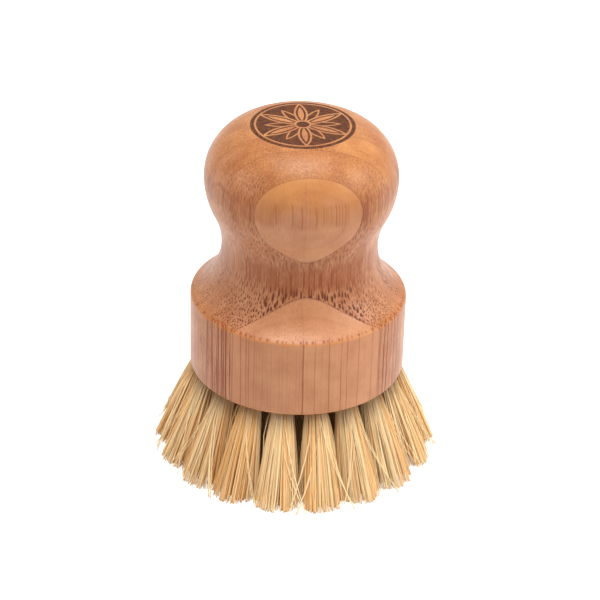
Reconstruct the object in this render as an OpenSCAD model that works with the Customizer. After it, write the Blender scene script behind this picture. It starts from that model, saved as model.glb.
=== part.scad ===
// Round palm brush: a bamboo handle turned from a laminated block, with 37 tufts of
// plant fibre held by flat wire anchors in blind holes drilled up into its underside.
// It stands on its bristle tips. Millimetres, +Z up, origin on the surface that it
// stands on, under the middle of the handle. The glue lines run along X and Z.

/* [Handle] */
// Diameter of the drum that holds the tufts
base_d = 50; // [47:0.5:56]
// Height of the side of the drum, from its underside to its rim
base_h = 18.7; // [17:0.1:21]
// Diameter of the waist, where the fingers grip
waist_d = 35.8; // [31:0.1:36]
// Height of the waist above the underside of the drum
waist_h = 31.4; // [29:0.1:35]
// Widest diameter of the head
head_d = 44; // [40:0.5:50]
// Height of the handle, from the underside of the drum to the crown
handle_h = 61; // [58:0.5:68]
// Radius that turns the side of the head into its flat crown
crown_r = 12.6; // [9:0.1:14]
// Rounding of the rim of the drum
rim_r = 0.6; // [0.3:0.1:1]
// Rounding of the lower edge of the drum
foot_r = 0.8; // [0.3:0.1:1.2]

/* [Bamboo layers] */
// Thickness of each inner layer of the block; the front and back ones reach to its faces
layer_t = 6.17; // [6:0.01:6.6]

/* [Holes] */
// Bore of each tuft hole
hole_d = 4.5; // [4:0.1:4.7]
// Depth of each tuft hole along its own axis
hole_depth = 11; // [9:0.5:13]
// Wood left between the side of the drum and the outer holes, at the mouth
hole_margin = 1.2; // [0.9:0.1:2]

/* [Tufts] */
// Height of the underside of the drum above the trimmed bristle tips
bristle_h = 21.4; // [16:0.1:28]
// Lean of the outer tufts away from upright, in degrees
outer_lean = 18; // [12:1:20]
// Gap left between neighbouring tufts at their tips
tip_gap = 0.6; // [0.3:0.1:1.5]
// Half width of one three-sided strand
strand_r = 0.32; // [0.25:0.01:0.36]
// How far the bound root of a tuft shows below its hole
root_show = 0.6; // [0.3:0.1:1]

/* [Anchors] */
// Thickness of the flat wire that holds a tuft
anchor_t = 0.35; // [0.25:0.05:0.6]
// Height of the flat wire
anchor_w = 1.8; // [1.2:0.1:2.4]
// How far each end of an anchor bites into the wood
anchor_bite = 0.5; // [0.3:0.1:0.6]
// Thickness of the bristles folded over an anchor
fold_t = 1; // [0.7:0.1:1.5]
// Clearance of a tuft root in its hole, and of an anchor in its slot
fit = 0.1; // [0.05:0.01:0.15]

/* [Hidden] */
$fn = 96;

// Tufts in each ring, from the single one in the middle outwards
RING_COUNTS = [1, 6, 12, 18];
// Turn of each ring from the front, in degrees
RING_TURNS = [0, 27, -3, 7];
RING_NAMES = ["centre", "inner", "middle", "outer"];
OUTER_RING = len(RING_COUNTS) - 1;
// Strands on the two circles round the middle one of each tuft
STRAND_CIRCLES = [4, 8];
LAST_STRAND = STRAND_CIRCLES[0] + STRAND_CIRCLES[1];
STRAND_SIDES = 3;
// Heights along a strand where it has a ring of points, from root to tip
STRAND_STEPS = [0, 0.5, 1];
// Above 1, a tuft opens out more towards its tips
FLARE_POWER = 1.25;
// How far a strand runs up into the bound root of its tuft
STRAND_EMBED = 1;
// How far cutting shapes run past the faces that they cut
CUT = 2;

LAYERS_EACH_SIDE = 3;
INNER_LAYERS = 2 * LAYERS_EACH_SIDE;
PALE_BAMBOO = "#e2b587";
MID_BAMBOO = "#d8a473";
DARK_BAMBOO = "#cd9561";
FIBRE = "#e6c98d";
WIRE = "#b9bcc0";

base_r = base_d / 2;
waist_r = waist_d / 2;
head_r = head_d / 2;
// Height of the widest line of the head above the underside
head_h = handle_h - crown_r;
// Arc that meets the rim of the drum and stands upright at the waist
cove_r = arc_radius(base_r - waist_r, waist_h - base_h);
cove_x = waist_r + cove_r;
// Two equal arcs, tangent to each other, carry the waist out to the head
flare_r = arc_radius(head_r - waist_r, head_h - waist_h) / 2;
flare_mid_h = (waist_h + head_h) / 2;
// The rim rounding touches the side of the drum and the cove
rim_x = base_r - rim_r;
rim_h = waist_h - sqrt(pow(cove_r + rim_r, 2) - pow(cove_x - rim_x, 2));

outer_hole_x = base_r - hole_margin - hole_d / 2 / cos(outer_lean);
ring_pitch = outer_hole_x / OUTER_RING;
outer_tip_x = tip_x(OUTER_RING);
// Least distance between the middles of two neighbouring tufts at their tips
tip_pitch = min(
    outer_tip_x - tip_x(OUTER_RING - 1),
    2 * outer_tip_x * sin(180 / RING_COUNTS[OUTER_RING])
);
tip_spread = (tip_pitch - tip_gap) / 2 - strand_r;
root_r = hole_d / 2 - fit;
root_spread = root_r - strand_r - fit;

INNER_PLY_NAMES = [for (i = [1:INNER_LAYERS]) str("inner_ply_", i)];
TUFT_KEYS = [
    for (ring = [0:OUTER_RING])
        for (k = [1:RING_COUNTS[ring]]) [ring, k]
];

// Radius of the arc that is upright at one end and moves out by out over a height of up
function arc_radius(out, up) = (out * out + up * up) / (2 * out);

function two_digits(n) = n < 10 ? str("0", n) : str(n);

function tuft_name(key) = str(RING_NAMES[key[0]], "_tuft_", two_digits(key[1]));

function lean(ring) = outer_lean * ring / OUTER_RING;

function hole_x(ring) = ring * ring_pitch;

function tip_x(ring) = hole_x(ring) + bristle_h * tan(lean(ring));

function tuft_angle(ring, k) = -90 + RING_TURNS[ring] + (k - 1) * 360 / RING_COUNTS[ring];

// Place of strand i in a disc of radius 1: one in the middle, then one circle, then the next
function spread(i) =
    i == 0 ? [0, 0] :
    i <= STRAND_CIRCLES[0] ? on_circle(1 / 2, i / STRAND_CIRCLES[0]) :
    on_circle(1, (i - STRAND_CIRCLES[0]) / STRAND_CIRCLES[1]);

function on_circle(r, turn) = r * [cos(turn * 360), sin(turn * 360)];

// Middle of strand i of a tuft in the given ring, at step t from its root to its tip
function strand_point(ring, i, t) =
    let (
        z = (bristle_h + STRAND_EMBED) * (1 - t),
        x = hole_x(ring) + (bristle_h - z) * tan(lean(ring)),
        s = root_spread + (tip_spread - root_spread) * pow(t, FLARE_POWER)
    ) [x + s * spread(i).x, s * spread(i).y, z];

// Half of a disc, above or below its middle
module half_disc(r, above) {
    intersection() {
        circle(r);
        translate([-r, above ? 0 : -r])
            square([2 * r, r]);
    }
}

// Half outline of the handle, its underside at height 0
module handle_outline() {
    difference() {
        intersection() {
            union() {
                square([base_r, waist_h]);
                square([(waist_r + head_r) / 2, flare_mid_h]);
                if (head_r > flare_r)
                    square([head_r - flare_r, head_h]);
                translate([head_r - flare_r, head_h])
                    half_disc(flare_r, false);
                translate([head_r - crown_r, head_h])
                    half_disc(crown_r, true);
                square([head_r - crown_r, handle_h]);
            }
            square([max(base_r, head_r), handle_h]);
        }
        translate([cove_x, waist_h])
            half_disc(cove_r, false);
        translate([waist_r + flare_r, waist_h])
            half_disc(flare_r, true);
        rim_corner();
        foot_corner();
    }
}

// What the rounding of the rim takes off
module rim_corner() {
    away = [rim_x - cove_x, rim_h - waist_h] / (cove_r + rim_r);
    difference() {
        polygon([
            [rim_x, rim_h],
            [base_r + CUT, rim_h],
            [base_r + CUT, waist_h],
            [rim_x - away.x * rim_r, rim_h - away.y * rim_r]
        ]);
        translate([rim_x, rim_h])
            circle(rim_r);
    }
}

// What the rounding of the lower edge takes off
module foot_corner() {
    difference() {
        translate([base_r - foot_r, -CUT])
            square([foot_r + CUT, foot_r + CUT]);
        translate([base_r - foot_r, foot_r])
            circle(foot_r);
    }
}

module turned_handle() {
    translate([0, 0, bristle_h])
        rotate_extrude()
            handle_outline();
}

// Puts its children at the mouth of a tuft hole, +Z up the hole
module at_hole(ring, k) {
    rotate([0, 0, tuft_angle(ring, k)])
        translate([hole_x(ring), 0, bristle_h])
            rotate([0, -lean(ring), 0])
                children();
}

module at_each_hole() {
    for (key = TUFT_KEYS)
        at_hole(key[0], key[1])
            children();
}

module anchor(clearance = 0) {
    length = hole_d + 2 * anchor_bite;
    translate([0, 0, hole_depth - fold_t - anchor_w / 2])
        cube(
            [anchor_t + 2 * clearance, length + 2 * clearance, anchor_w + 2 * clearance],
            center = true
        );
}

// The holes and the slots that the anchors bite into the wood
module drilling() {
    at_each_hole() {
        translate([0, 0, -CUT])
            cylinder(d = hole_d, h = hole_depth + CUT);
        anchor(fit);
    }
}

// The part of the drilled handle between two glue lines
module ply(y_from, y_to) {
    difference() {
        intersection() {
            turned_handle();
            translate([-base_d, y_from, 0])
                cube([2 * base_d, y_to - y_from, bristle_h + handle_h + CUT]);
        }
        drilling();
    }
}

// One end of an outermost layer, which the waist cuts in two
module outer_ply(front, head) {
    glue_y = LAYERS_EACH_SIDE * layer_t;
    cut_z = bristle_h + waist_h;
    intersection() {
        if (front)
            ply(-base_d, -glue_y);
        else
            ply(glue_y, base_d);
        translate([-base_d, -base_d, head ? cut_z : 0])
            cube([2 * base_d, 2 * base_d, head ? handle_h : cut_z]);
    }
}

module front_head_ply() {
    color(MID_BAMBOO)
        outer_ply(true, true);
}

module front_base_ply() {
    color(MID_BAMBOO)
        outer_ply(true, false);
}

module back_head_ply() {
    color(MID_BAMBOO)
        outer_ply(false, true);
}

module back_base_ply() {
    color(MID_BAMBOO)
        outer_ply(false, false);
}

// Inner layers are numbered from the front
module inner_ply(i) {
    y_from = (i - 1 - LAYERS_EACH_SIDE) * layer_t;
    color(i % 2 == 1 ? DARK_BAMBOO : PALE_BAMBOO)
        ply(y_from, y_from + layer_t);
}

module ring_anchors(ring) {
    color(WIRE)
        for (k = [1:RING_COUNTS[ring]])
            at_hole(ring, k)
                anchor();
}

module outer_anchors() {
    ring_anchors(OUTER_RING);
}

module middle_anchors() {
    ring_anchors(OUTER_RING - 1);
}

// The inner ring and the one in the middle
module inner_anchors() {
    ring_anchors(1);
    ring_anchors(0);
}

// The folded, bound end of a tuft, which fills its hole round the anchor
module tuft_root(ring, k) {
    at_hole(ring, k)
        difference() {
            translate([0, 0, -root_show])
                cylinder(r = root_r, h = hole_depth - fit + root_show);
            anchor(fit);
        }
}

// One bristle strand, cut flat at its tip
module strand(ring, i) {
    sides = STRAND_SIDES;
    rings = len(STRAND_STEPS);
    points = [
        for (t = STRAND_STEPS)
            for (s = [0:sides - 1])
                let (a = (s / sides + i / (LAST_STRAND + 1)) * 360)
                    strand_point(ring, i, t) + strand_r * [cos(a), sin(a), 0]
    ];
    faces = concat(
        [[for (s = [sides - 1:-1:0]) s]],
        [
            for (r = [0:rings - 2])
                for (s = [0:sides - 1])
                    let (p = r * sides, n = (s + 1) % sides)
                        each [
                            [p + s, p + n, p + sides + s],
                            [p + n, p + sides + n, p + sides + s]
                        ]
        ],
        [[for (s = [0:sides - 1]) (rings - 1) * sides + s]]
    );
    polyhedron(points, faces);
}

module tuft(ring, k) {
    color(FIBRE) {
        tuft_root(ring, k);
        rotate([0, 0, tuft_angle(ring, k)])
            for (i = [0:LAST_STRAND])
                strand(ring, i);
    }
}

front_head_ply();
front_base_ply();
for (i = [1:INNER_LAYERS])
    inner_ply(i);
back_head_ply();
back_base_ply();
outer_anchors();
middle_anchors();
inner_anchors();
for (key = TUFT_KEYS)
    tuft(key[0], key[1]);
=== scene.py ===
import math
import random

import bmesh
import bpy
from mathutils import Matrix, Vector


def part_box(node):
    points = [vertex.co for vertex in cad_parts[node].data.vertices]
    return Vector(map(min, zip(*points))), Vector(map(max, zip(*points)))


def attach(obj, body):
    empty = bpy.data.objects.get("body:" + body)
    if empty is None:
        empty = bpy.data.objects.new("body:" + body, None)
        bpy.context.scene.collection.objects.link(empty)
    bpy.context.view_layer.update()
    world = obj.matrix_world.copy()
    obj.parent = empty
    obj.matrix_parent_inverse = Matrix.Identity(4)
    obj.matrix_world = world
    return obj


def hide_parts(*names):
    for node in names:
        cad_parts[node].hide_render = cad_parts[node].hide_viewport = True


bl_info = {
    "name": "Bamboo palm brush",
    "version": (1, 0, 0),
    "blender": (4, 5, 0),
    "location": "3D View > Sidebar > Brush",
    "description": "A turned bamboo palm brush with tufts of plant fibre",
    "category": "Object",
}

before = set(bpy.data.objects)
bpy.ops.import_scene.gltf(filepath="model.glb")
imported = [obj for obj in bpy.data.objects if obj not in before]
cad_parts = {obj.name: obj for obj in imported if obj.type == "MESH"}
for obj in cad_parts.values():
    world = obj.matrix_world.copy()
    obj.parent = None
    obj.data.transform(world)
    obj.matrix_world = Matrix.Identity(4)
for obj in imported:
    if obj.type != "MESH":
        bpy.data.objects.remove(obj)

MM = 0.001
BODY = "root"

# From the solids: heights of the drum's underside and of the crown, the glue plane behind the
# front layer, and the thickness of a layer
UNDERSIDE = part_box("front_base_ply")[0].z
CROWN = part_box("inner_ply_3")[1].z
FIRST_GLUE_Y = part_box("inner_ply_1")[0].y
LAYER_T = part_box("inner_ply_1")[1].y - FIRST_GLUE_Y

# Tufts in each ring from the middle outwards, and each ring's turn from the front in degrees
RING_NAMES = ("centre", "inner", "middle", "outer")
RING_COUNTS = (1, 6, 12, 18)
RING_TURNS = (0, 27, -3, 7)
OUTER_RING = len(RING_COUNTS) - 1

# Dark lines down the drum's side: place across and width in millimetres, and strength
FRONT_LINES = (
    (-16.4, 0.2, 0.5),
    (-14.6, 0.16, 0.5),
    (-13.3, 0.2, 0.45),
    (-12.7, 0.14, 0.4),
    (-11.6, 0.12, 0.3),
    (-0.8, 0.2, 0.75),
    (1.9, 0.1, 0.35),
    (5.1, 0.14, 0.5),
    (7.9, 0.14, 0.5),
    (9.3, 0.14, 0.45),
    (11.9, 0.12, 0.4),
    (15.1, 0.14, 0.45),
)
FLANK_LINES = (
    (-20.6, 0.2, 0.55),
    (-19.4, 0.25, 0.7),
    (-18.3, 0.4, 0.85),
    (-17.7, 0.2, 0.7),
    (17.4, 0.16, 0.45),
    (18.4, 0.2, 0.65),
    (20.0, 0.16, 0.55),
    (20.9, 0.2, 0.6),
    (21.7, 0.16, 0.5),
)
BACK_LINES = (
    (-13.1, 0.14, 0.5),
    (-8.4, 0.2, 0.6),
    (-5.9, 0.12, 0.4),
    (2.2, 0.18, 0.7),
    (7.7, 0.14, 0.5),
    (12.4, 0.2, 0.6),
)

# The inner layers from the front: joint of two strips in millimetres, tone, coarse dots, fine dots
INNER_WOODS = (
    (-9.8, 0.6, 1.1, 1.25),
    (6.0, 0.42, 0.4, 0.6),
    (-3.0, 0.5, 0.6, 0.65),
    (10.5, 0.44, 0.35, 0.5),
    (-7.0, 0.55, 0.5, 0.65),
    (2.0, 0.48, 0.8, 0.7),
)

# Spacing of the marks in the wood, in millimetres
COARSE_SPACING = 0.8
FINE_SPACING = 0.56
STREAK_SPACING = 0.95
RIM_DOT_SPACING = 1.3

# Depth of the wood's relief, which is left to the bump
BUMP_DEPTH = 0.14 * MM

# Each fibre draws a number from 0 to 1. Below the first of these it may cross to the next
# tuft, below the second it may be short fuzz, and below the third it is loose.
CROSSING = 0.05
FUZZ = 0.09
LOOSE = 0.12

# Locks in a tuft, how far the fibres reach into their hole, and how uneven their tips are
LOCKS = 9
ROOT_DEPTH = 1.5 * MM
UNEVEN_TIPS = 0.16 * MM

# Side of the square photograph in pixels
PHOTO_PX = 600


def arc_radius(out, up):
    """Radius of the arc that is upright at one end and moves out by out over a height of up."""
    return (out * out + up * up) / (2 * out)


# Settings that a user would change


class HandleSettings(bpy.types.PropertyGroup):
    """Sizes of the turned handle"""

    drum_d: bpy.props.FloatProperty(
        name="Drum diameter",
        description="Diameter of the drum that holds the tufts",
        default=50 * MM,
        unit="LENGTH",
    )
    drum_h: bpy.props.FloatProperty(
        name="Drum height",
        description="Height of the drum's side, from its underside to its rim",
        default=18.7 * MM,
        unit="LENGTH",
    )
    waist_d: bpy.props.FloatProperty(
        name="Waist diameter",
        description="Diameter of the waist, where the fingers grip",
        default=35.8 * MM,
        unit="LENGTH",
    )
    waist_h: bpy.props.FloatProperty(
        name="Waist height",
        description="Height of the waist above the underside of the drum",
        default=31.4 * MM,
        unit="LENGTH",
    )
    head_d: bpy.props.FloatProperty(
        name="Head diameter",
        description="Widest diameter of the head",
        default=44 * MM,
        unit="LENGTH",
    )
    crown_r: bpy.props.FloatProperty(
        name="Crown rounding",
        description="Radius that turns the side of the head into its flat crown",
        default=12.6 * MM,
        unit="LENGTH",
    )
    rim_r: bpy.props.FloatProperty(
        name="Rim rounding",
        description="Rounding of the rim of the drum",
        default=0.9 * MM,
        unit="LENGTH",
    )
    foot_r: bpy.props.FloatProperty(
        name="Foot rounding",
        description="Rounding of the lower edge of the drum",
        default=0.8 * MM,
        unit="LENGTH",
    )
    turning_steps: bpy.props.IntProperty(
        name="Turning steps",
        description="Faces round the turned handle",
        default=240,
        min=24,
    )


class BambooSettings(bpy.types.PropertyGroup):
    """Colours and marks of the wood"""

    pale: bpy.props.FloatVectorProperty(
        name="Pale wood",
        description="Colour of the pale wood between the fibres",
        default=(0.71, 0.335, 0.168),
        size=3,
        subtype="COLOR",
    )
    honey: bpy.props.FloatVectorProperty(
        name="Honey wood",
        description="Colour of the yellower patches of the pale wood",
        default=(0.68, 0.295, 0.10),
        size=3,
        subtype="COLOR",
    )
    deep: bpy.props.FloatVectorProperty(
        name="Deep wood",
        description="Colour of the darker bands of the wood",
        default=(0.39, 0.118, 0.038),
        size=3,
        subtype="COLOR",
    )
    fibre: bpy.props.FloatVectorProperty(
        name="Fibre bundles",
        description="Colour of the dark fibre bundles, seen as dots on a slope and streaks on a side",
        default=(0.14, 0.030, 0.009),
        size=3,
        subtype="COLOR",
    )
    streak: bpy.props.FloatVectorProperty(
        name="Long streaks",
        description="Colour of the reddish streaks where a side shows bundles lengthwise",
        default=(0.32, 0.072, 0.021),
        size=3,
        subtype="COLOR",
    )
    rim: bpy.props.FloatVectorProperty(
        name="Oiled rim",
        description="Colour of the rim of the drum, where the oil has darkened it",
        default=(0.60, 0.23, 0.055),
        size=3,
        subtype="COLOR",
    )
    burnt: bpy.props.FloatVectorProperty(
        name="Burnt mark",
        description="Colour of the burnt rosette on the crown",
        default=(0.055, 0.013, 0.003),
        size=3,
        subtype="COLOR",
    )
    scorched: bpy.props.FloatVectorProperty(
        name="Scorched mark",
        description="Colour of the lighter parts of the burnt rosette",
        default=(0.14, 0.042, 0.008),
        size=3,
        subtype="COLOR",
    )
    strip_w: bpy.props.FloatProperty(
        name="Strip width",
        description="Width of one strip of bamboo in a layer",
        default=23.1 * MM,
        unit="LENGTH",
    )
    rosette_r: bpy.props.FloatProperty(
        name="Rosette radius",
        description="Outer radius of the burnt rosette",
        default=11.8 * MM,
        unit="LENGTH",
    )


class TuftSettings(bpy.types.PropertyGroup):
    """Shape and colours of the tufts"""

    fibres: bpy.props.IntProperty(
        name="Fibres",
        description="Fibres in one tuft",
        default=460,
        min=20,
    )
    fibre_d: bpy.props.FloatProperty(
        name="Fibre diameter",
        description="Mean diameter of one fibre",
        default=0.27 * MM,
        unit="LENGTH",
    )
    root_r: bpy.props.FloatProperty(
        name="Root radius",
        description="Radius of a tuft where it leaves its hole",
        default=2.1 * MM,
        unit="LENGTH",
    )
    tip_r: bpy.props.FloatProperty(
        name="Tip radius",
        description="Radius of a tuft at its trimmed tips",
        default=5.15 * MM,
        unit="LENGTH",
    )
    outer_lean: bpy.props.FloatProperty(
        name="Outer lean",
        description="Lean of the outer tufts away from upright",
        default=math.radians(18),
        subtype="ANGLE",
    )
    outer_hole_x: bpy.props.FloatProperty(
        name="Outer ring radius",
        description="Distance from the axis to the mouths of the outer holes",
        default=21.43 * MM,
        unit="LENGTH",
    )
    pale: bpy.props.FloatVectorProperty(
        name="Pale fibre",
        description="Colour of the palest fibres",
        default=(1.0, 0.79, 0.46),
        size=3,
        subtype="COLOR",
    )
    straw: bpy.props.FloatVectorProperty(
        name="Straw fibre",
        description="Colour of the darkest fibres",
        default=(0.93, 0.52, 0.18),
        size=3,
        subtype="COLOR",
    )
    # Painted shade: this colour darkens the fibres' roots and the inner tufts, where shade falls
    # among the tufts, and the trimmed tips, partly their cut ends' own colour and partly painted
    # shade beneath them
    painted_shade_and_cut_ends: bpy.props.FloatVectorProperty(
        name="Fibre root",
        description="Colour of the fibres where they come out of the wood",
        default=(0.12, 0.018, 0.005),
        size=3,
        subtype="COLOR",
    )


class StageSettings(bpy.types.PropertyGroup):
    """Light and floor"""

    room_level: bpy.props.FloatProperty(
        name="Room light",
        description="Level of the even light from all round",
        default=0.04,
        min=0,
    )
    right_level: bpy.props.FloatProperty(
        name="Right softbox",
        description="Level of the softbox at the right",
        default=1.55,
        min=0,
    )
    left_level: bpy.props.FloatProperty(
        name="Left softbox",
        description="Level of the softbox at the left",
        default=0.5,
        min=0,
    )
    top_level: bpy.props.FloatProperty(
        name="Top softbox",
        description="Level of the softbox overhead",
        default=3.0,
        min=0,
    )
    floor_size: bpy.props.FloatProperty(
        name="Floor size",
        description="Side of the square floor",
        default=4,
        unit="LENGTH",
    )


# Shader maths


class Value:
    """A number, vector or colour at a socket. Arithmetic on it adds the nodes."""

    def __init__(self, shader, socket):
        self.shader = shader
        self.socket = socket

    def output(self, key):
        """Another output of the node that this value comes from."""
        return Value(self.shader, self.socket.node.outputs[key])

    def math(self, operation, *others):
        return self.shader.math(operation, self, *others)

    def __add__(self, other):
        return self.math("ADD", other)

    __radd__ = __add__

    def __sub__(self, other):
        return self.math("SUBTRACT", other)

    def __rsub__(self, other):
        return self.shader.math("SUBTRACT", other, self)

    def __mul__(self, other):
        return self.math("MULTIPLY", other)

    def __truediv__(self, other):
        return self.math("DIVIDE", other)

    def __pow__(self, other):
        return self.math("POWER", other)

    def __abs__(self):
        return self.math("ABSOLUTE")

    def most(self, *others):
        """The greatest of this value and the others."""
        value = self
        for other in others:
            value = value.math("MAXIMUM", other)
        return value

    def limit(self):
        """Held between 0 and 1."""
        return self.math("MAXIMUM", 0.0).math("MINIMUM", 1.0)

    def ramp(self, low, high, start=0.0, end=1.0):
        """Eases from start at low to end at high, and stays there past them."""
        return self.shader.node(
            "ShaderNodeMapRange",
            {"interpolation_type": "SMOOTHSTEP"},
            {0: self, 1: low, 2: high, 3: start, 4: end},
        )

    def band(self, low, high, level=1.0):
        """Level up to low, easing to 0 at high."""
        return self.ramp(low, high, level, 0.0)


class Shader:
    """The node tree of one material or world, and the calls that add its nodes."""

    def __init__(self, owner):
        owner.use_nodes = True
        self.owner = owner
        self.tree = owner.node_tree
        self.tree.nodes.clear()

    def node(self, kind, settings=None, inputs=None, output=0):
        node = self.tree.nodes.new(kind)
        for key, value in (settings or {}).items():
            setattr(node, key, value)
        for key, value in (inputs or {}).items():
            if isinstance(value, Value):
                self.tree.links.new(value.socket, node.inputs[key])
            else:
                node.inputs[key].default_value = value
        return Value(self, node.outputs[output])

    def math(self, operation, *values):
        return self.node("ShaderNodeMath", {"operation": operation}, dict(enumerate(values)))

    def split(self, vector):
        x = self.node("ShaderNodeSeparateXYZ", None, {0: vector})
        return x, x.output(1), x.output(2)

    def join(self, x, y, z):
        return self.node("ShaderNodeCombineXYZ", None, {0: x, 1: y, 2: z})

    def mix(self, factor, a, b):
        """Colour a at factor 0, colour b at factor 1."""
        return self.node(
            "ShaderNodeMix", {"data_type": "RGBA"}, {0: factor, 6: a, 7: b}, output=2
        )

    def place(self):
        """Where a point of the surface lies on the brush, in millimetres."""
        point = self.node("ShaderNodeTexCoord", output="Object")
        return [axis * (1 / MM) for axis in self.split(point)]

    def noise(self, vector, scale=1.0, detail=2.0):
        return self.node(
            "ShaderNodeTexNoise", None, {"Vector": vector, "Scale": scale, "Detail": detail}
        )

    def cells(self, vector, spacing):
        """Scattered points about spacing apart: distance to the nearest, two random values of it."""
        distance = self.node(
            "ShaderNodeTexVoronoi",
            {"voronoi_dimensions": "2D", "feature": "F1"},
            {"Vector": vector, "Scale": 1 / spacing, "Randomness": 0.85},
        )
        pick = self.split(distance.output("Color"))
        return distance * spacing, pick[0], pick[1]

    def rows(self, along, spacing):
        """Scattered lines about spacing apart: distance to the nearest, a random value of it."""
        distance = self.node(
            "ShaderNodeTexVoronoi",
            {"voronoi_dimensions": "1D", "feature": "F1"},
            {"W": along, "Scale": 1 / spacing, "Randomness": 0.8},
        )
        return distance * spacing, self.split(distance.output("Color"))[0]

    def finish(self, **inputs):
        """Gives the material its one surface, and returns the material."""
        named = {key.replace("_", " "): value for key, value in inputs.items()}
        bsdf = self.node("ShaderNodeBsdfPrincipled", None, named)
        self.show("ShaderNodeOutputMaterial", bsdf)
        return self.owner

    def show(self, output_kind, surface):
        output = self.tree.nodes.new(output_kind)
        self.tree.links.new(surface.socket, output.inputs[0])


def rgba(colour):
    return (*colour, 1.0)


# Bamboo


class Layer:
    """One glued layer of the block: where it lies and how its wood looks."""

    def __init__(self, glue_y, joint_x, tone, coarse, fine, seed, thick=LAYER_T, calm=1.0):
        self.glue_y = glue_y
        self.thick = thick
        # Where two strips of the layer meet edge to edge, in millimetres
        self.joint_x = joint_x
        # How deep the wood's colour is, and how much its coarse and fine dots show
        self.tone = tone
        self.coarse = coarse
        self.fine = fine
        # Below 1 the grain varies less, and the dots on the drum's side are fainter
        self.calm = calm
        self.seed = seed
        # Lines down the drum's side, and the strength of the dark stain beside the joint
        self.lines = ()
        self.stain = 0.0


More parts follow.
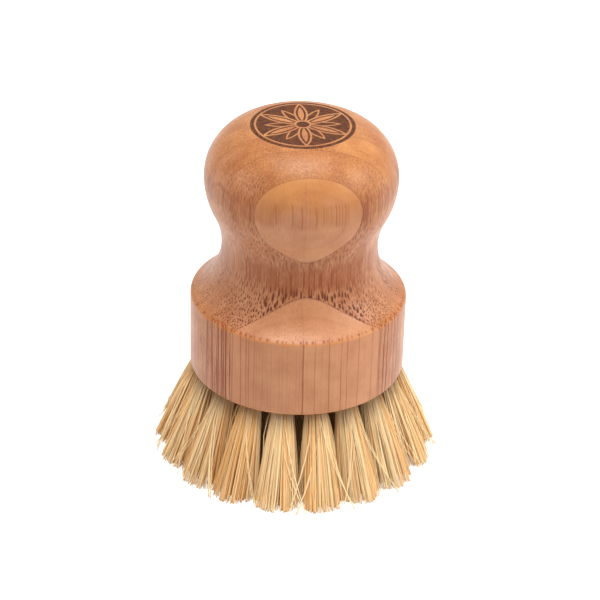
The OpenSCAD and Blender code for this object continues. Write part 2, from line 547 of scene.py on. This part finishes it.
class Bamboo:
    """The wood of one layer, with its lengths in millimetres.

    Its fibre bundles stand upright in pale wood. Where the turning cuts across them they
    show as dots, and where it runs along them as streaks.
    """

    def __init__(self, name, layer, look, sizes):
        s = Shader(bpy.data.materials.new(name))
        x, y, z = s.place()
        self.s = s
        self.layer = layer
        self.look = look
        self.x, self.y, self.z = x, y, z
        self.drum_r = sizes.drum_d / 2 / MM
        self.rim_z = (UNDERSIDE + sizes.drum_h) / MM
        self.widest_z = (CROWN - sizes.crown_r) / MM
        self.strip_w = look.strip_w / MM

        # The bundles stand nearly straight, and sway a little
        sway = s.noise(s.join(x * 0.3 + layer.seed, y * 0.3, z * 0.05), detail=1) - 0.5
        self.x_grain = x + sway * 0.6
        self.y_grain = y + sway * 0.5

        # Distance from the axis and height above the waist, then two parts of the handle, each
        # 1 on it and 0 off it
        self.out = (x * x + y * y).math("SQRT")
        self.above_waist = z - (UNDERSIDE + sizes.waist_h) / MM
        self.on_side = self.out.ramp(self.drum_r - 0.75, self.drum_r - 0.45)
        self.on_neck = abs(self.above_waist).band(1.5, 4.5)

        # Place in the layer: 0 at its front and 1 at its back, then the strip, counted from the
        # joint, and the distance from the joint at its left
        self.depth = (y - layer.glue_y / MM) / (layer.thick / MM)
        strips = (x - layer.joint_x) / self.strip_w
        self.strip = strips.math("FLOOR")
        self.past_joint = strips.math("FRACT") * self.strip_w
        self.main_strip = self.strip.math("COMPARE", 0.0, 0.5)

        self.streaks = self.grain(3.2, 0.09, layer.seed, detail=3)
        self.mottle = s.noise(s.join(x, y, z + layer.seed), scale=0.17, detail=4) - 0.5
        # The widest part of the head, where the turning runs along the bundles
        self.upright = abs(z - (self.widest_z + 0.9) + self.mottle * 4.0).band(1.6, 3.6)

    def grain(self, across, along, shift=0.0, detail=2):
        """Noise that is finer across the bundles than along them, about 0."""
        s = self.s
        place = s.join(self.x_grain * across, self.y_grain * across, self.z * along + shift)
        return s.noise(place, detail=detail) - 0.5

    def tone(self):
        """How deep the wood's colour is between its bundles, from 0 to 1."""
        s = self.s
        layer = self.layer
        strip_tone = s.node(
            "ShaderNodeTexWhiteNoise",
            {"noise_dimensions": "2D"},
            {"Vector": s.join(self.strip, layer.seed, 0.0)},
        )
        broad_place = s.join(self.x_grain * 0.3 + layer.seed, self.y_grain * 0.3, self.z * 0.02)
        broad = s.noise(broad_place) - 0.5
        wall = s.noise(s.join(layer.seed, self.y_grain * 1.1, 0.0)) - 0.5
        grit = self.grain(2.4, 0.8)
        deep = (
            layer.tone
            + (strip_tone - 0.5) * 0.2
            + broad * (0.7 * layer.calm)
            + self.streaks * (0.7 * layer.calm)
            + self.mottle * 0.85
            + wall * (1 - self.on_side) * 0.35
            + grit * (0.8 * layer.calm)
            # Deeper round the widest part of the head: partly the lengthwise-cut wood, partly painted
            # shade where the upright side gets less light
            + self.upright * 0.16
            + self.on_neck * (layer.coarse * 0.3)
        )
        return deep.limit()

    def coarse_dots(self):
        """Thick bundles, in the main strip of the layer and strongest near its front."""
        near, pick, shade = self.s.cells(
            self.s.join(self.x_grain, self.y_grain, 0.0), COARSE_SPACING
        )
        swell = self.depth.ramp(0.05, 0.8, 1.0, 0.65) * (1 - self.on_neck * 0.35)
        dots = (near - (pick * 0.08 + 0.17) * swell).band(-0.02, 0.11)
        dots = dots * (shade * 0.3 + 0.8) * self.depth.ramp(0.2, 0.85, 1.0, 0.35)
        faded = self.above_waist.ramp(0.0, 2.5, 1.0, 0.4)
        faded = faded * (self.z - self.widest_z).ramp(2.0, 6.0, 1.0, 0.35)
        return dots * faded * (self.main_strip * self.layer.coarse)

    def fine_dots(self):
        """Thin bundles, all over the layer and strongest on the crown."""
        layer = self.layer
        # Moved along the pattern, so that the fine dots don't follow the coarse ones
        moved_x = self.x_grain + 40.0
        near, pick, shade = self.s.cells(self.s.join(moved_x, self.y_grain, 0.0), FINE_SPACING)
        dots = (near - pick * 0.07 - 0.05).band(0.0, 0.12)
        dots = dots * (shade * 0.5 + 0.5) * (layer.fine - self.main_strip * (0.5 * layer.fine))
        dots = dots * self.depth.ramp(0.0, 0.7, 1.25, 0.75)
        dots = dots * self.above_waist.ramp(0.0, 4.0, 1.0, 0.45)
        return dots * (self.z - (CROWN / MM - 2.0)).ramp(0.0, 1.5, 1.0, 1.9)

    def with_streaks(self, wood):
        """Short reddish streaks round the widest part of the head."""
        near, pick = self.s.rows(self.x_grain + self.y_grain * 0.6, STREAK_SPACING)
        streak = (near - pick * 0.09).band(0.02, 0.14) * (pick * 0.55)
        return self.s.mix(streak * self.upright, wood, rgba(self.look.streak))

    def with_rim(self, wood):
        """The oiled rim of the drum, wider at its sides, with a row of cut bundles along it."""
        s = self.s
        rim_w = abs(self.x).ramp(12.0, 22.0, 0.9, 2.4)
        above_rim = self.z - self.rim_z
        oiled = ((self.out - self.drum_r) / rim_w).ramp(-1.0, -0.3) * above_rim.ramp(-0.8, 0.0)
        ragged = s.noise(s.join(self.x * 0.8, self.y * 0.8, self.z)).ramp(0.35, 0.65, 0.25, 0.6)
        wood = s.mix(oiled * ragged, wood, rgba(self.look.rim))
        near, pick = s.rows(self.y.math("ARCTAN2", self.x) * self.drum_r, RIM_DOT_SPACING)
        dots = (near - pick * 0.12).band(0.12, 0.3)
        dots = dots * abs(self.out - (self.drum_r - 0.55)).band(0.15, 0.45)
        dots = dots * above_rim.ramp(-0.6, -0.1) * (pick * 0.5 + 0.35)
        return s.mix(dots, wood, rgba(self.look.streak))

    def with_lines(self, wood):
        """The layer's dark lines down the side of the drum, paler in parts."""
        s = self.s
        faint = s.noise(s.join(self.x * 2.0, 0.0, self.z * 0.1 + 5.0)).ramp(0.3, 0.6, 0.5, 1.0)
        lines = [
            abs(self.x_grain - line_x).band(width / 2, width / 2 + 0.13, level)
            for line_x, width, level in self.layer.lines
        ]
        over = self.out.ramp(self.drum_r - 1.5, self.drum_r - 1.0)
        drawn = lines[0].most(*lines[1:])
        return s.mix(drawn * over * faint, wood, rgba(self.look.streak))

    def with_stain(self, wood):
        """A dark patch beside the joint of two strips, at the widest part of the head."""
        stain = self.past_joint.ramp(self.strip_w - 1.0, self.strip_w - 0.9)
        stain = stain * self.past_joint.band(self.strip_w - 0.15, self.strip_w - 0.05)
        stain = stain * abs(self.z - (self.widest_z - 0.2)).band(2.3, 2.8)
        return self.s.mix(stain * self.layer.stain, wood, rgba(self.look.streak))

    def with_seams(self, wood):
        """Glue lines at both faces of the layer and between its strips."""
        front_y = self.layer.glue_y / MM
        back_y = (self.layer.glue_y + self.layer.thick) / MM
        to_glue = abs(self.y - front_y).math("MINIMUM", abs(self.y - back_y))
        seam = to_glue.band(0.03, 0.13, 0.3).most(self.past_joint.band(0.05, 0.15, 0.2))
        return self.s.mix(seam, wood, rgba(self.look.fibre))

    def material(self):
        s = self.s
        layer = self.layer
        look = self.look
        honeyed = s.noise(s.join(self.x * 0.07, self.y * 0.07, self.z * 0.07 + layer.seed))
        honeyed = (honeyed + (self.z - self.widest_z) * 0.02).ramp(0.4, 0.65)
        pale = s.mix(honeyed, rgba(look.pale), rgba(look.honey))
        wood = s.mix(self.tone(), pale, rgba(look.deep))

        worn = 1 - self.on_side * ((1 - layer.calm) * 0.7)
        dark = self.coarse_dots().most(self.fine_dots()) * worn
        dot_colour = s.mix(self.on_neck * 0.85, rgba(look.fibre), rgba(look.streak))
        wood = s.mix(dark, wood, dot_colour)
        wood = self.with_rim(self.with_streaks(wood))
        if layer.lines:
            wood = self.with_lines(wood)
        if layer.stain:
            wood = self.with_stain(wood)
        wood = self.with_seams(wood)

        ink = burnt_rosette(self.x, self.y, self.z, look)
        scorch = s.noise(s.join(self.x * 1.1, self.y * 1.1, layer.seed), detail=4)
        hatch = s.noise(s.join(self.x * 5.0, self.y * 5.0, 0.0), detail=1)
        burnt = s.mix(scorch.ramp(0.35, 0.7), rgba(look.burnt), rgba(look.scorched))
        burnt = s.mix(hatch.ramp(0.5, 0.72, 0.0, 0.3), burnt, rgba(look.deep))
        wood = s.mix(ink, wood, burnt)

        height = 1.0 - dark * 0.6 + self.streaks * 0.3 - ink * 1.8 - hatch * ink * 0.5
        bump = s.node(
            "ShaderNodeBump",
            None,
            {"Height": height, "Strength": 0.35, "Distance": BUMP_DEPTH},
        )
        rough = 0.38 + dark * 0.12 + self.mottle * 0.12 + ink * 0.3
        return s.finish(
            Base_Color=wood, Roughness=rough, Normal=bump, Specular_IOR_Level=0.28
        )


def burnt_rosette(x, y, z, look):
    """A six-petalled rosette drawn with compasses, burnt into the crown alone."""
    outer = look.rosette_r / MM
    ring = outer - 1.15
    hub_r = 1.7
    sector = math.pi / 3
    above_zero = 7 * sector
    r = (x * x + y * y).math("SQRT")
    angle = y.math("ARCTAN2", x)

    def petal(turn, size):
        """Distance from the edge of the nearest petal, below 0 inside it."""
        local = abs((angle + (turn + above_zero)).math("MODULO", sector) - sector / 2)
        along = r * local.math("COSINE")
        aside = r * local.math("SINE")
        centre_along = size * 0.5
        centre_aside = size * 0.866
        return ((along - centre_along) ** 2 + (aside + centre_aside) ** 2).math("SQRT") - size

    long_petal = petal(0.0, ring)
    short_petal = petal(sector / 2, ring * 0.82)
    rib = abs(long_petal + 0.1).band(0.16, 0.3)
    vein = (long_petal + 0.78).band(-0.08, 0.06)
    inlay = short_petal.band(-0.12, 0.06) * long_petal.ramp(0.0, 0.2)
    inlay_core = (short_petal + 0.42).band(-0.1, 0.05)
    ring_gap = abs(r - ring).band(0.16, 0.3)
    hub = abs(r - hub_r).band(0.16, 0.32)
    light = rib.most(vein, inlay * (1 - inlay_core))
    light = (light * (r - hub_r).ramp(0.0, 0.1)).most(ring_gap, hub)
    inside = (r - outer).band(-0.12, 0.05)
    on_crown = (z - (CROWN / MM - 2.0)).ramp(0.0, 0.3)
    return inside * (1 - light) * on_crown


# Turned handle


def turned_body(sizes):
    """The whole handle as one turned solid: its outline drawn with arcs, spun round the axis."""
    drum_r = sizes.drum_d / 2
    waist_r = sizes.waist_d / 2
    head_r = sizes.head_d / 2
    waist_z = UNDERSIDE + sizes.waist_h
    head_z = CROWN - sizes.crown_r
    cove_r = arc_radius(drum_r - waist_r, sizes.waist_h - sizes.drum_h)
    cove_x = waist_r + cove_r
    flare_r = arc_radius(head_r - waist_r, head_z - waist_z) / 2
    rim_x = drum_r - sizes.rim_r
    rim_z = waist_z - math.sqrt((cove_r + sizes.rim_r) ** 2 - (cove_x - rim_x) ** 2)
    rim_turn = math.atan2(waist_z - rim_z, cove_x - rim_x)
    flare_turn = math.asin((head_z - waist_z) / 2 / flare_r)

    bm = bmesh.new()
    pen = bmesh.ops.create_vert(bm, co=(0, 0, UNDERSIDE))["vert"][0]

    def line_to(vert, x, z):
        made = bmesh.ops.extrude_vert_indiv(bm, verts=[vert])["verts"][0]
        made.co = (x, 0, z)
        return made

    def arc(vert, x, z, turn, count):
        made = bmesh.ops.spin(
            bm, geom=[vert], cent=(x, 0, z), axis=(0, 1, 0), angle=turn, steps=count
        )
        return next(g for g in made["geom_last"] if isinstance(g, bmesh.types.BMVert))

    pen = line_to(pen, drum_r - sizes.foot_r, UNDERSIDE)
    pen = arc(pen, drum_r - sizes.foot_r, UNDERSIDE + sizes.foot_r, -math.pi / 2, 6)
    pen = line_to(pen, drum_r, rim_z)
    pen = arc(pen, rim_x, rim_z, -rim_turn, 5)
    pen = arc(pen, cove_x, waist_z, rim_turn, 20)
    pen = arc(pen, waist_r + flare_r, waist_z, flare_turn, 10)
    pen = arc(pen, head_r - flare_r, head_z, -flare_turn, 10)
    pen = arc(pen, head_r - sizes.crown_r, head_z, -math.pi / 2, 24)
    line_to(pen, 0, CROWN)

    bmesh.ops.spin(
        bm,
        geom=bm.verts[:] + bm.edges[:],
        cent=(0, 0, 0),
        axis=(0, 0, 1),
        angle=2 * math.pi,
        steps=sizes.turning_steps,
        use_merge=True,
    )
    bmesh.ops.remove_doubles(bm, verts=bm.verts, dist=1e-7)
    bmesh.ops.recalc_face_normals(bm, faces=bm.faces)
    return bm


def cut(bm, point, normal):
    """Takes off what lies past the plane, and closes the cut."""
    geom = bm.verts[:] + bm.edges[:] + bm.faces[:]
    bmesh.ops.bisect_plane(
        bm, geom=geom, dist=1e-8, plane_co=point, plane_no=normal, clear_outer=True
    )
    open_edges = [e for e in bm.edges if e.is_boundary]
    if open_edges:
        bmesh.ops.holes_fill(bm, edges=open_edges, sides=0)
        bmesh.ops.recalc_face_normals(bm, faces=bm.faces)


def as_piece(name, bm, material, node, sharp_degrees):
    """Makes the mesh an object that rides on the brush and stands for its CAD node.

    It is shaded smooth, with the edges sharper than sharp_degrees left crisp.
    """
    mesh = bpy.data.meshes.new(name)
    bm.to_mesh(mesh)
    bm.free()
    mesh.materials.append(material)
    mesh.shade_smooth()
    mesh.set_sharp_from_angle(angle=math.radians(sharp_degrees))
    piece = bpy.data.objects.new(name, mesh)
    bpy.context.scene.collection.objects.link(piece)
    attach(piece, BODY)
    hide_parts(node)


class PALMBRUSH_OT_layers(bpy.types.Operator):
    """Turns the handle and cuts it into its glued bamboo layers"""

    bl_idname = "palm_brush.add_layers"
    bl_label = "Add bamboo layers"

    def execute(self, context):
        sizes = context.scene.palm_handle
        look = context.scene.palm_bamboo
        whole = turned_body(sizes)
        body = bpy.data.meshes.new("turned_body")
        whole.to_mesh(body)
        whole.free()
        waist_z = UNDERSIDE + sizes.waist_h
        back_y = -FIRST_GLUE_Y
        far = sizes.drum_d

        # The outer layers reach to just past the drum, so that no glue line shows on it
        skin = sizes.drum_d / 2 + 0.5 * MM - back_y
        face = Layer(FIRST_GLUE_Y - skin, -0.8, 0.36, 0.1, 0.25, 3.7, skin, 0.3)
        face.lines = FRONT_LINES
        rear = Layer(back_y, 5.2, 0.42, 0.1, 0.35, 11.3, skin, 0.5)
        rear.lines = BACK_LINES

        # Piece, CAD node, front, back, side of the waist that is kept, slot, layer
        jobs = []
        for side, low, high, layer in (
            ("front", -far, FIRST_GLUE_Y, face),
            ("back", back_y, far, rear),
        ):
            for end, keep in (("head", 1), ("base", -1)):
                name = f"{side}_{end}_layer"
                jobs.append((name, f"{side}_{end}_ply", low, high, keep, "bamboo_face", layer))
        for i, wood in enumerate(INNER_WOODS):
            low = FIRST_GLUE_Y + i * LAYER_T
            slot = "bamboo_dense" if i % 2 == 0 else "bamboo_pale"
            # Seeds far apart, so that no two layers look alike
            layer = Layer(low, *wood, seed=17.1 * (i + 1))
            if i == 0:
                layer.lines = FLANK_LINES
                layer.stain = 0.45
            node = f"inner_ply_{i + 1}"
            jobs.append((f"inner_layer_{i + 1}", node, low, low + LAYER_T, 0, slot, layer))

        materials = {}
        for name, node, low, high, keep, slot, layer in jobs:
            if layer not in materials:
                wood_name = f"bamboo_{len(materials) + 1}"
                materials[layer] = Bamboo(wood_name, layer, look, sizes).material()
            bm = bmesh.new()
            bm.from_mesh(body)
            cut(bm, (0, low, 0), (0, -1, 0))
            cut(bm, (0, high, 0), (0, 1, 0))
            if keep:
                cut(bm, (0, 0, waist_z), (0, 0, -keep))
            if not bm.faces:
                raise RuntimeError(f"{name} has no faces")
            as_piece(name, bm, materials[layer], node, sharp_degrees=30)
        bpy.data.meshes.remove(body)
        return {"FINISHED"}


# Tufts


def fibre_material(look):
    s = Shader(bpy.data.materials.new("plant_fibre"))
    tone, painted_shade_fade, along = (
        s.node("ShaderNodeAttribute", {"attribute_name": name}, output="Fac")
        for name in ("tone", "painted_shade_fade", "along")
    )
    x, y, z = s.place()
    patches = s.noise(s.join(x * 0.8, y * 0.8, z * 0.3)) - 0.5
    colour = s.mix((tone + patches * 0.5).limit(), rgba(look.pale), rgba(look.straw))
    # Painted shade: the roots, and the inner tufts most, are mixed towards the dark root colour,
    # where shade falls among the tufts
    colour = s.mix(painted_shade_fade.band(0.0, 0.5, 0.97), colour, rgba(look.painted_shade_and_cut_ends))
    # Darker trimmed tips: partly the cut ends' own colour, partly painted shade beneath the tips
    colour = s.mix(along.ramp(0.975, 0.99, 0.0, 0.3), colour, rgba(look.painted_shade_and_cut_ends))
    return s.finish(Base_Color=colour, Roughness=0.4, Specular_IOR_Level=0.3)


def fibre_template(sides, parts):
    """One closed fibre of unit radius and length, with parts rings of faces along it."""
    bm = bmesh.new()
    ring = bmesh.ops.create_circle(bm, cap_ends=False, radius=1, segments=sides)["verts"]
    bmesh.ops.contextual_create(bm, geom=ring)
    edges = bm.edges[:]
    for _ in range(parts):
        made = bmesh.ops.extrude_edge_only(bm, edges=edges)["geom"]
        verts = [g for g in made if isinstance(g, bmesh.types.BMVert)]
        edges = [
            g
            for g in made
            if isinstance(g, bmesh.types.BMEdge) and all(v in verts for v in g.verts)
        ]
        bmesh.ops.translate(bm, verts=verts, vec=(0, 0, 1 / parts))
    bmesh.ops.contextual_create(bm, geom=verts)
    bmesh.ops.recalc_face_normals(bm, faces=bm.faces)
    mesh = bpy.data.meshes.new("fibre")
    bm.to_mesh(mesh)
    bm.free()
    return mesh


def disc_spots(count, rng):
    """Even spots in a disc of radius 1, each moved a little."""
    golden = math.pi * (3 - math.sqrt(5))
    spots = []
    for i in range(count):
        r = ((i + 0.5) / count) ** 0.42
        a = i * golden + rng.uniform(-0.25, 0.25)
        spots.append((r * math.cos(a), r * math.sin(a)))
    return spots


class Lock:
    """A few neighbouring fibres that stick together: a spot in the tuft, a tone and a drift."""

    def __init__(self, rng):
        self.u = rng.uniform(-1, 1)
        self.v = rng.uniform(-1, 1)
        self.tone = rng.gauss(0, 0.2)
        self.drift_u = rng.gauss(0, 0.08)
        self.drift_v = rng.gauss(0, 0.08)


class Fibre:
    """The course of one fibre, from its spot in the hole to its spot among the tips.

    Spots u and v are parts of the tuft's radius, u away from the axis of the brush and v
    across that.
    """

    def __init__(self, u, v, locks, tuft_tone, ring, look, rng):
        lock = min(locks, key=lambda k: math.hypot(k.u - u, k.v - v))
        self.root_r = look.root_r
        self.tip_r = look.tip_r
        self.u = u
        self.v = v
        self.tip_u = u + lock.drift_u + rng.gauss(0, 0.06)
        self.tip_v = v + lock.drift_v + rng.gauss(0, 0.06)
        reach = math.hypot(self.tip_u, self.tip_v)
        if reach > 1:
            self.tip_u /= reach
            self.tip_v /= reach
        self.radius = look.fibre_d / 2 * rng.uniform(0.65, 1.3)
        self.tip_z = abs(rng.gauss(0, UNEVEN_TIPS))
        self.tone = min(max(rng.gauss(0.42, 0.22) + lock.tone + tuft_tone, 0), 1)
        spring = 0.18 * MM
        kind = rng.random()
        if ring == OUTER_RING and u > 0.6 and kind < CROSSING:
            self.tip_v = 1.5 * math.copysign(rng.uniform(0.7, 1), rng.uniform(-1, 1))
            self.tip_u = 0.9
            self.tone = rng.uniform(0, 0.2)
        elif u > 0.5 and kind < FUZZ:
            spring = 0.8 * MM
            self.radius = look.fibre_d * 0.28
            self.tip_z = UNDERSIDE * rng.uniform(0.35, 0.75)
        elif kind < LOOSE:
            spring = 0.6 * MM
        most = 1.6 * spring
        self.bend_out = min(max(rng.gauss(0, spring), -most), most)
        self.bend_aside = min(max(rng.gauss(0, spring), -most), most)
        self.twist = rng.uniform(0.6, 1.0) if kind > LOOSE else rng.uniform(1.0, 2.0)

    def at(self, t):
        """Place outwards in the tuft, aside and up, at the part t of the fibre's length."""
        top_z = UNDERSIDE + ROOT_DEPTH
        z = top_z + (self.tip_z - top_z) * t
        fall = (top_z - z) / top_z
        opening = max(fall, 0) ** 0.88
        spread = self.root_r - self.radius + (self.tip_r - self.root_r) * opening
        bow = math.sin(math.pi * t * self.twist)
        out = spread * (self.u + (self.tip_u - self.u) * t) + self.bend_out * bow
        aside = spread * (self.v + (self.tip_v - self.v) * t) * (1 + 0.1 * opening)
        return out, aside + self.bend_aside * bow, z, fall


def tuft_mesh(template, ring, angle, look, rng):
    """One tuft: fibres that leave a round hole as a tight bundle and open out to trimmed tips."""
    drop = math.tan(look.outer_lean * ring / OUTER_RING)
    hole_x = look.outer_hole_x * ring / OUTER_RING
    # Painted shade is strongest in the inner rings, which lie deepest among the tufts
    painted_ring_light = 0.3 + 0.7 * (ring / OUTER_RING) ** 2
    turn = Matrix.Rotation(angle, 3, "Z")
    bm = bmesh.new()
    tone_layer = bm.verts.layers.float.new("tone")
    along_layer = bm.verts.layers.float.new("along")
    painted_shade_fade_layer = bm.verts.layers.float.new("painted_shade_fade")
    tuft_tone = rng.uniform(-0.1, 0.1)
    locks = [Lock(rng) for _ in range(LOCKS)]
    for u, v in disc_spots(look.fibres, rng):
        fibre = Fibre(u, v, locks, tuft_tone, ring, look, rng)
        count = len(bm.verts)
        bm.from_mesh(template)
        bm.verts.ensure_lookup_table()
        for vert in bm.verts[count:]:
            t = vert.co.z
            out, aside, z, fall = fibre.at(t)
            width = fibre.radius * (1 - 0.3 * t * t)
            x = hole_x + (UNDERSIDE - z) * drop + out + vert.co.x * width
            y = aside + vert.co.y * width
            vert.co = turn @ Vector((x, y, z))
            vert[tone_layer] = fibre.tone
            vert[along_layer] = t
            # Low near the root and in the inner rings, where the material paints shade on the fibres
            vert[painted_shade_fade_layer] = (fall + 0.12) * painted_ring_light
    return bm


class PALMBRUSH_OT_tufts(bpy.types.Operator):
    """Fills every hole with a tuft of plant fibre"""

    bl_idname = "palm_brush.add_tufts"
    bl_label = "Add tufts"

    def execute(self, context):
        look = context.scene.palm_tufts
        template = fibre_template(sides=4, parts=6)
        material = fibre_material(look)
        for ring, count in enumerate(RING_COUNTS):
            for k in range(count):
                rng = random.Random(1000 * ring + k)
                angle = math.radians(-90 + RING_TURNS[ring] + k * 360 / count)
                bm = tuft_mesh(template, ring, angle, look, rng)
                if not bm.faces:
                    raise RuntimeError(f"tuft {k + 1} of ring {ring} has no faces")
                node = f"{RING_NAMES[ring]}_tuft_{k + 1:02d}"
                name = f"{RING_NAMES[ring]}_bristles_{k + 1:02d}"
                as_piece(name, bm, material, node, sharp_degrees=60)
        bpy.data.meshes.remove(template)
        return {"FINISHED"}


# Anchors


class PALMBRUSH_OT_anchors(bpy.types.Operator):
    """Gives the wire anchors their steel"""

    bl_idname = "palm_brush.finish_anchors"
    bl_label = "Finish anchors"

    def execute(self, context):
        s = Shader(bpy.data.materials.new("anchor_wire"))
        x, y, z = s.place()
        drawn = s.noise(s.join(x, y, z * 9.0))
        grey = s.mix(drawn, (0.52, 0.53, 0.55, 1), (0.66, 0.66, 0.67, 1))
        material = s.finish(Base_Color=grey, Metallic=1.0, Roughness=0.3 + drawn * 0.15)
        for node in ("outer_anchors", "middle_anchors", "inner_anchors"):
            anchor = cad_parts[node]
            if not anchor.material_slots:
                anchor.data.materials.append(material)
            for place_slot in anchor.material_slots:
                place_slot.material = material
        return {"FINISHED"}


# Stage


def white_for_camera(s, plain, bright):
    """Mixes two shaders: plain lights the brush, bright is what the camera and mirrors see."""
    camera = s.node("ShaderNodeLightPath", output="Is Camera Ray")
    mirrored = camera.output("Is Glossy Ray")
    through = camera.output("Is Transmission Ray")
    seen = camera.most(mirrored, through)
    return s.node("ShaderNodeMixShader", None, {0: seen, 1: plain, 2: bright})


def white_room(level):
    """Even light of this level from all round, in front of a white backdrop."""
    s = Shader(bpy.data.worlds.new("studio"))
    white = (1, 1, 1, 1)
    room = s.node("ShaderNodeBackground", None, {"Color": white, "Strength": level})
    backdrop = s.node("ShaderNodeBackground", None, {"Color": white, "Strength": 1})
    s.show("ShaderNodeOutputWorld", white_for_camera(s, room, backdrop))
    return s.owner


def white_floor():
    """A matt floor that takes the brush's shadow and is lit up a little for the camera."""
    s = Shader(bpy.data.materials.new("floor"))
    matt = s.node("ShaderNodeBsdfDiffuse", None, {"Color": (0.85, 0.85, 0.85, 1)})
    glow = s.node("ShaderNodeEmission", None, {"Color": (1, 1, 1, 1), "Strength": 0.5})
    both = s.node("ShaderNodeAddShader", None, {0: matt, 1: glow})
    s.show("ShaderNodeOutputMaterial", white_for_camera(s, matt, both))
    return s.owner


def add_softbox(name, place, spread, level):
    """A soft, even light from the direction of place, spread degrees wide."""
    lamp = bpy.data.lights.new(name, "SUN")
    lamp.angle = math.radians(spread)
    lamp.energy = level
    softbox = bpy.data.objects.new(name, lamp)
    softbox.location = place
    softbox.rotation_euler = (-Vector(place)).to_track_quat("-Z", "Y").to_euler()
    bpy.context.scene.collection.objects.link(softbox)


def add_camera():
    """The photograph's view, from a little left of the front and 29 degrees up."""
    turn = math.radians(5.5)
    rise = 0.5073
    roll = math.radians(1.583)
    # The point looked at lies this many pixels left of the photograph's middle and above it
    shift_x = 0.482
    shift_y = 52.708
    pivot = Vector((0, 0, UNDERSIDE + 29.79 * MM))
    distance = 504.08 * MM
    data = bpy.data.cameras.new("camera")
    data.sensor_width = 36
    data.lens = 132
    data.clip_start = 0.01
    data.clip_end = 20
    lens_px = PHOTO_PX * data.lens / data.sensor_width
    camera = bpy.data.objects.new("camera", data)
    back = Vector(
        (-math.sin(turn) * math.cos(rise), -math.cos(turn) * math.cos(rise), math.sin(rise))
    )
    level = (-back).to_track_quat("-Z", "Y").to_matrix().to_4x4()
    rolled = Matrix.Rotation(roll, 4, "Z")
    down = Matrix.Rotation(-math.atan(shift_y / lens_px), 4, "X")
    right = Matrix.Rotation(-math.atan(shift_x / lens_px), 4, "Y")
    place = Matrix.Translation(pivot + back * distance)
    camera.matrix_world = place @ level @ rolled @ down @ right
    bpy.context.scene.collection.objects.link(camera)
    bpy.context.scene.camera = camera


class PALMBRUSH_OT_stage(bpy.types.Operator):
    """Sets the floor, the white surroundings, the softboxes and the camera"""

    bl_idname = "palm_brush.add_stage"
    bl_label = "Add stage"

    def execute(self, context):
        settings = context.scene.palm_stage
        scene = context.scene
        scene.view_settings.view_transform = "Standard"
        scene.world = white_room(settings.room_level)

        bm = bmesh.new()
        bmesh.ops.create_grid(bm, x_segments=8, y_segments=8, size=settings.floor_size / 2)
        mesh = bpy.data.meshes.new("floor")
        bm.to_mesh(mesh)
        bm.free()
        mesh.materials.append(white_floor())
        floor = bpy.data.objects.new("floor", mesh)
        scene.collection.objects.link(floor)

        add_softbox("right_softbox", (0.45, -0.14, 0.27), 36, settings.right_level)
        add_softbox("left_softbox", (-0.5, -0.15, 0.25), 36, settings.left_level)
        add_softbox("top_softbox", (0, -0.06, 0.6), 42, settings.top_level)
        add_camera()
        return {"FINISHED"}


class PALMBRUSH_PT_panel(bpy.types.Panel):
    """The brush's steps and settings"""

    bl_idname = "PALMBRUSH_PT_panel"
    bl_label = "Palm brush"
    bl_space_type = "VIEW_3D"
    bl_region_type = "UI"
    bl_category = "Brush"

    def draw(self, context):
        for group, operators in STEPS:
            box = self.layout.box()
            settings = getattr(context.scene, group)
            for name in settings.__annotations__:
                box.prop(settings, name)
            for operator in operators:
                box.operator(operator)


STEPS = (
    ("palm_handle", ("palm_brush.add_layers",)),
    ("palm_bamboo", ()),
    ("palm_tufts", ("palm_brush.add_tufts", "palm_brush.finish_anchors")),
    ("palm_stage", ("palm_brush.add_stage",)),
)
GROUPS = {
    "palm_handle": HandleSettings,
    "palm_bamboo": BambooSettings,
    "palm_tufts": TuftSettings,
    "palm_stage": StageSettings,
}
CLASSES = (
    *GROUPS.values(),
    PALMBRUSH_OT_layers,
    PALMBRUSH_OT_tufts,
    PALMBRUSH_OT_anchors,
    PALMBRUSH_OT_stage,
    PALMBRUSH_PT_panel,
)


def register():
    for cls in CLASSES:
        bpy.utils.register_class(cls)
    for name, group in GROUPS.items():
        setattr(bpy.types.Scene, name, bpy.props.PointerProperty(type=group))


def unregister():
    for name in GROUPS:
        delattr(bpy.types.Scene, name)
    for cls in reversed(CLASSES):
        bpy.utils.unregister_class(cls)


def main():
    register()
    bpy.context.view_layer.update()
    bpy.ops.palm_brush.add_layers()
    bpy.ops.palm_brush.add_tufts()
    bpy.ops.palm_brush.finish_anchors()
    bpy.ops.palm_brush.add_stage()


if __name__ == "__main__":
    main()
